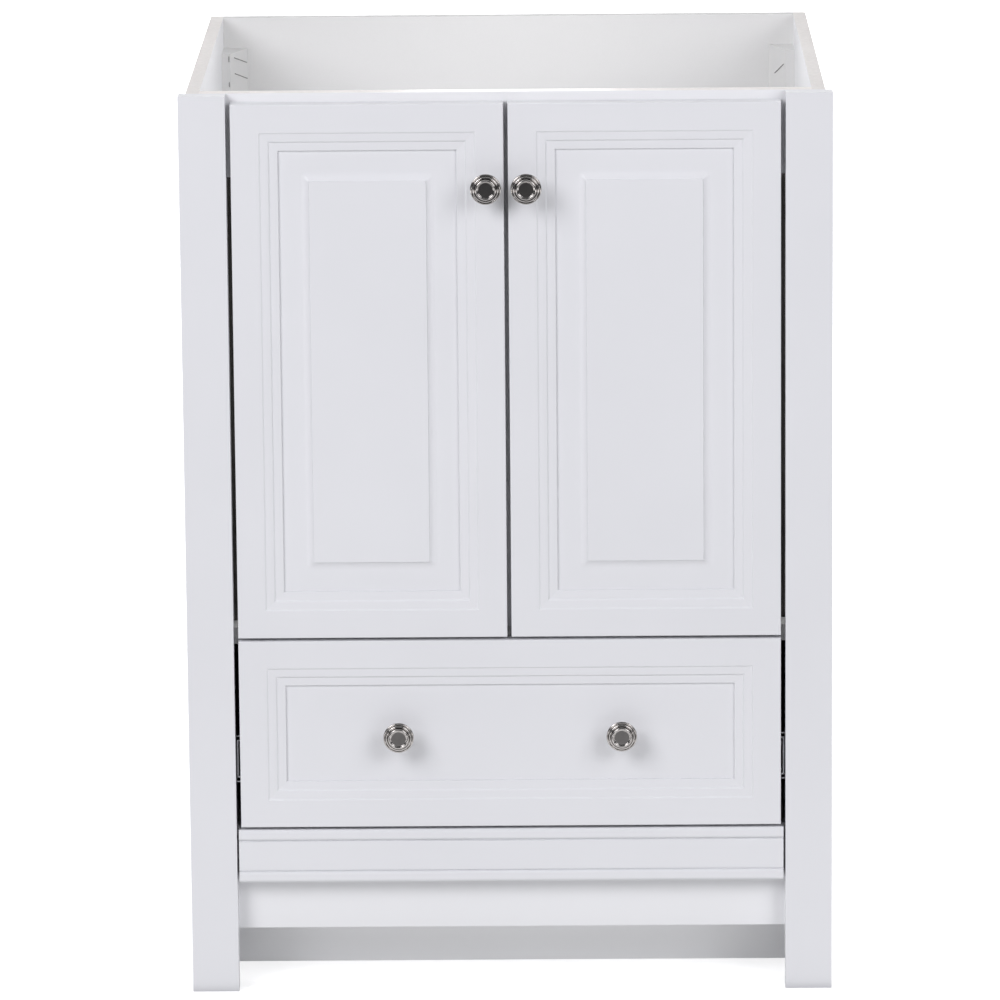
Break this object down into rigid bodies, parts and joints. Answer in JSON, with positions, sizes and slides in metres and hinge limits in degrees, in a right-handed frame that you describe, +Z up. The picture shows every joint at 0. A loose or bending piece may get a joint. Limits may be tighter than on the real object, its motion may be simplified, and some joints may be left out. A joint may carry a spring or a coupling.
{
  "type": "bathroom vanity cabinet",
  "caption": "Free-standing white bathroom vanity base cabinet, open at the top for a sink top, with paired raised-panel doors over a wide drawer and a recessed toe kick.",
  "frame": {"origin": "middle of the overall box's footprint on the floor, knobs included", "axes": "+Z up, -Y out of the doors, X across the cabinet with +X on the right seen from the front"},
  "size_m": [0.61, 0.559, 0.864],
  "materials": {
    "white_front": "white satin paint on MDF",
    "white_case": "white satin paint on MDF",
    "white_inside": "white melamine, low sheen",
    "nickel": "polished nickel plate",
    "screw_steel": "zinc plated",
    "hinge_steel": "nickel-plated pressed steel",
    "slide_steel": "zinc-plated rolled steel"
  },
  "bodies": {
    "cabinet": {"left_side_panel": "white_case", "left_front_post": "white_front", "right_side_panel": "white_case", "right_front_post": "white_front", "back_panel": "white_inside", "bottom_panel": "white_inside", "deck_panel": "white_inside", "top_rail": "white_case", "centre_stile": "white_case", "apron_board": "white_case", "toe_kick_board": "white_case", "base_moulding": "white_front", "left_corner_block": "white_inside", "left_hinge_cleat": "white_inside", "left_slide_spacer": "white_inside", "left_slide_cabinet_member": "slide_steel", "left_upper_hinge_arm": "hinge_steel", "left_lower_hinge_arm": "hinge_steel", "right_corner_block": "white_inside", "right_hinge_cleat": "white_inside", "right_slide_spacer": "white_inside", "right_slide_cabinet_member": "slide_steel", "right_upper_hinge_arm": "hinge_steel", "right_lower_hinge_arm": "hinge_steel"},
    "left_slide_middle": {"left_slide_middle_member": "slide_steel"},
    "right_slide_middle": {"right_slide_middle_member": "slide_steel"},
    "left_door": {"left_door_hinge_stile": "white_front", "left_door_meeting_stile": "white_front", "left_door_top_rail": "white_front", "left_door_bottom_rail": "white_front", "left_door_panel": "white_front", "left_door_knob": "nickel", "left_door_knob_screw": "screw_steel", "left_door_upper_hinge_cup": "hinge_steel", "left_door_lower_hinge_cup": "hinge_steel"},
    "right_door": {"right_door_hinge_stile": "white_front", "right_door_meeting_stile": "white_front", "right_door_top_rail": "white_front", "right_door_bottom_rail": "white_front", "right_door_panel": "white_front", "right_door_knob": "nickel", "right_door_knob_screw": "screw_steel", "right_door_upper_hinge_cup": "hinge_steel", "right_door_lower_hinge_cup": "hinge_steel"},
    "drawer": {"drawer_front_left_stile": "white_front", "drawer_front_right_stile": "white_front", "drawer_front_top_rail": "white_front", "drawer_front_bottom_rail": "white_front", "drawer_front_panel": "white_front", "drawer_box_left_side": "white_inside", "drawer_box_right_side": "white_inside", "drawer_box_front": "white_inside", "drawer_box_back": "white_inside", "drawer_box_bottom": "white_inside", "drawer_left_knob": "nickel", "drawer_left_knob_screw": "screw_steel", "left_slide_drawer_member": "slide_steel", "drawer_right_knob": "nickel", "drawer_right_knob_screw": "screw_steel", "right_slide_drawer_member": "slide_steel"}
  },
  "joints": [
    {"name": "left_door_hinge", "type": "hinge", "parent": "cabinet", "child": "left_door", "pos_m": [-0.2585, -0.2545, 0.601], "axis": [0, 0, -1], "range_deg": [0, 105]},
    {"name": "right_door_hinge", "type": "hinge", "parent": "cabinet", "child": "right_door", "pos_m": [0.2585, -0.2545, 0.601], "axis": [0, 0, 1], "range_deg": [0, 105]},
    {"name": "drawer_slide", "type": "slide", "parent": "cabinet", "child": "drawer", "axis": [0, -1, 0], "range_m": [0, 0.4]},
    {"name": "left_slide_travel", "type": "slide", "parent": "cabinet", "child": "left_slide_middle", "axis": [0, -1, 0], "range_m": [0, 0.2]},
    {"name": "right_slide_travel", "type": "slide", "parent": "cabinet", "child": "right_slide_middle", "axis": [0, -1, 0], "range_m": [0, 0.2]}
  ],
  "couplings": [
    {"joint": "left_slide_travel", "follows": "drawer_slide", "ratio": 0.5},
    {"joint": "right_slide_travel", "follows": "drawer_slide", "ratio": 0.5}
  ]
}
